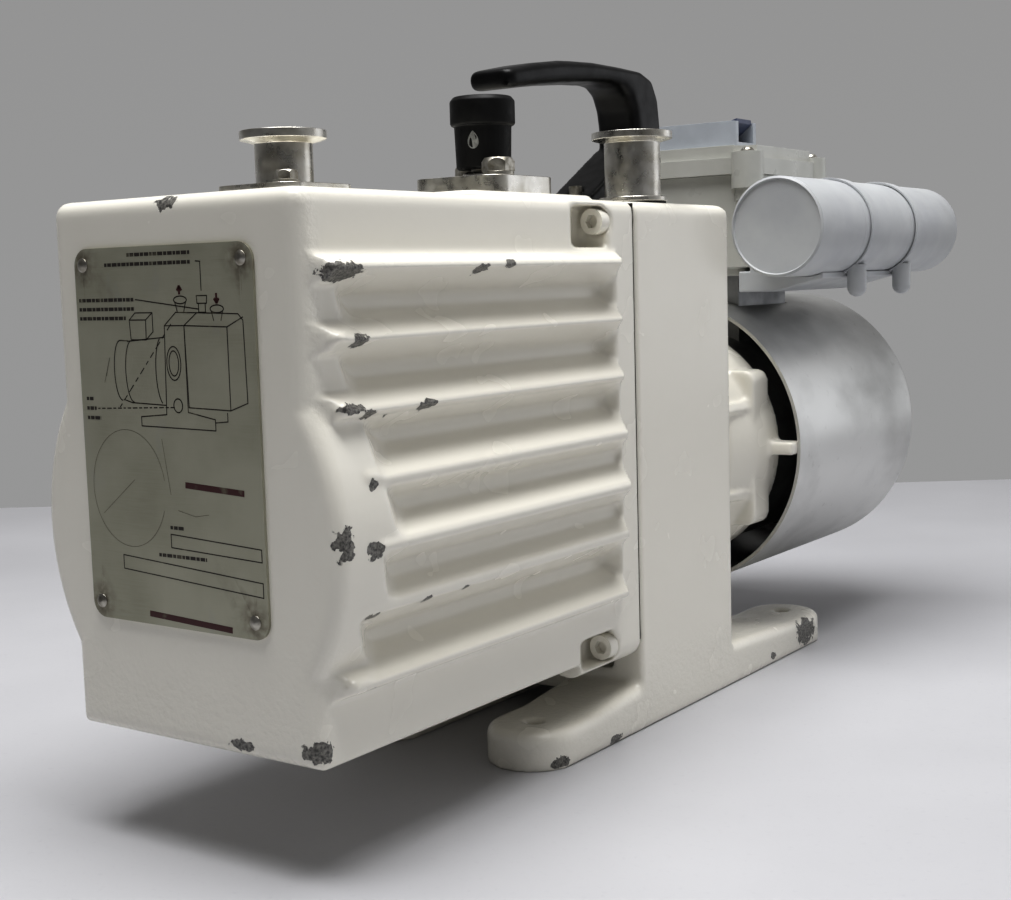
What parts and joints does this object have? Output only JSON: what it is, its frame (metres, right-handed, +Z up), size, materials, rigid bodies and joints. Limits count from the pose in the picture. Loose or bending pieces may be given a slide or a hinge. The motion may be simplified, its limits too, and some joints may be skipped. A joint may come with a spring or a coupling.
{
  "type": "rotary vane vacuum pump",
  "caption": "Two-stage oil-sealed rotary vane vacuum pump: ribbed oil casing, stand with foot rails, clamp-flange ports, ballast knob, handle and cowled motor.",
  "frame": {"origin": "floor level at the centre of the four foot holes", "axes": "+Z up, +Y along the shaft from the oil casing towards the motor fan, +X towards the capacitor side"},
  "size_m": [0.1595, 0.4972, 0.2795],
  "materials": {
    "cream_enamel": "gloss enamel over a casting, chipped and grimy at the seams",
    "printed_aluminium": "brushed, aged, printed",
    "turned_steel": "turned, bright",
    "plated_steel": "zinc plated",
    "black_knob_plastic": "moulded, matte",
    "black_handle_plastic": "moulded, semi-gloss",
    "cowl_aluminium": "spun, satin",
    "box_enamel": "enamel",
    "capacitor_plastic": "moulded, satin",
    "switch_plastic": "moulded, pale blue-grey",
    "rocker_plastic": "moulded, dark blue-grey",
    "black_plastic": "moulded",
    "sight_glass": "clear over amber oil",
    "seal_rubber": "moulded nitrile",
    "grey_cast_iron": "machined, oiled",
    "ground_steel": "ground",
    "bronze": "sintered",
    "vane_composite": "machined laminate",
    "cast_aluminium": "as cast",
    "electrical_steel": "laminated",
    "copper_winding": "varnished wire",
    "filter_felt": "glass-fibre filter in a tube"
  },
  "bodies": {
    "root": {"ballast_flange": "turned_steel", "bearing_outer_rings": "ground_steel", "cable_gland": "black_plastic", "capacitor_saddle": "capacitor_plastic", "capacitor_straps": "capacitor_plastic", "carry_handle": "black_handle_plastic", "casing_screws": "cream_enamel", "cover_screws": "plated_steel", "demister": "filter_felt", "exhaust_port": "turned_steel", "fan_cowl": "cowl_aluminium", "fore_stage_stator": "grey_cast_iron", "frame_screws": "plated_steel", "front_cover": "grey_cast_iron", "front_end_shield": "cream_enamel", "gaskets_and_seals": "seal_rubber", "intake_pipe": "cast_aluminium", "intake_port": "turned_steel", "intake_strainer": "plated_steel", "main_stage_stator": "grey_cast_iron", "middle_plate": "grey_cast_iron", "module_screws": "plated_steel", "motor_shell": "cast_aluminium", "nameplate": "printed_aluminium", "nameplate_rivets": "plated_steel", "oil_casing": "cream_enamel", "oil_plugs": "plated_steel", "port_bolts": "plated_steel", "port_washers": "plated_steel", "pump_stand": "cream_enamel", "rear_end_shield": "cream_enamel", "rear_plate": "grey_cast_iron", "shaft_bushes": "bronze", "sight_glass": "sight_glass", "sight_glass_ring": "black_plastic", "start_capacitor": "capacitor_plastic", "stator_core": "electrical_steel", "stator_winding": "copper_winding", "switch_housing": "switch_plastic", "terminal_block": "black_plastic", "terminal_box": "box_enamel", "terminal_box_lid": "box_enamel", "valve_stops": "plated_steel"},
    "rotor_train": {"pump_shaft": "ground_steel", "main_stage_rotor": "grey_cast_iron", "fore_stage_rotor": "grey_cast_iron", "rotor_vanes": "vane_composite", "pump_coupling_half": "grey_cast_iron", "motor_coupling_half": "grey_cast_iron", "coupling_star": "seal_rubber", "rotor_core": "electrical_steel", "motor_shaft": "ground_steel", "bearing_inner_rings_and_balls": "ground_steel", "cooling_fan": "black_plastic"},
    "ballast_valve": {"ballast_stem": "plated_steel", "ballast_knob": "black_knob_plastic"},
    "power_rocker": {"switch_rocker": "rocker_plastic"},
    "intake_valve_plate": {"intake_valve": "plated_steel"},
    "main_valve_plate": {"main_exhaust_valve": "plated_steel"},
    "fore_valve_plate": {"fore_exhaust_valve": "plated_steel"}
  },
  "joints": [
    {"name": "rotor_spin", "type": "hinge", "parent": "root", "child": "rotor_train", "pos_m": [0, 0, 0.105], "axis": [0, 1, 0], "continuous": true},
    {"name": "ballast_turn", "type": "hinge", "parent": "root", "child": "ballast_valve", "pos_m": [0.014, -0.103, 0.24], "axis": [0, 0, 1], "range_deg": [-90, 0]},
    {"name": "rocker_tilt", "type": "hinge", "parent": "root", "child": "power_rocker", "pos_m": [0.0145, 0.1, 0.2578], "axis": [0, 1, 0], "range_deg": [0, 20]},
    {"name": "intake_valve_slide", "type": "slide", "parent": "root", "child": "intake_valve_plate", "axis": [0, 0, 1], "range_m": [-0.005, 0], "stiffness_N_per_m": 60, "springref_m": 0.003},
    {"name": "main_valve_lift", "type": "slide", "parent": "root", "child": "main_valve_plate", "axis": [0, 0, 1], "range_m": [0, 0.0012], "stiffness_N_per_m": 200, "springref_m": -0.001},
    {"name": "fore_valve_lift", "type": "slide", "parent": "root", "child": "fore_valve_plate", "axis": [0, 0, 1], "range_m": [0, 0.0012], "stiffness_N_per_m": 200, "springref_m": -0.001}
  ]
}
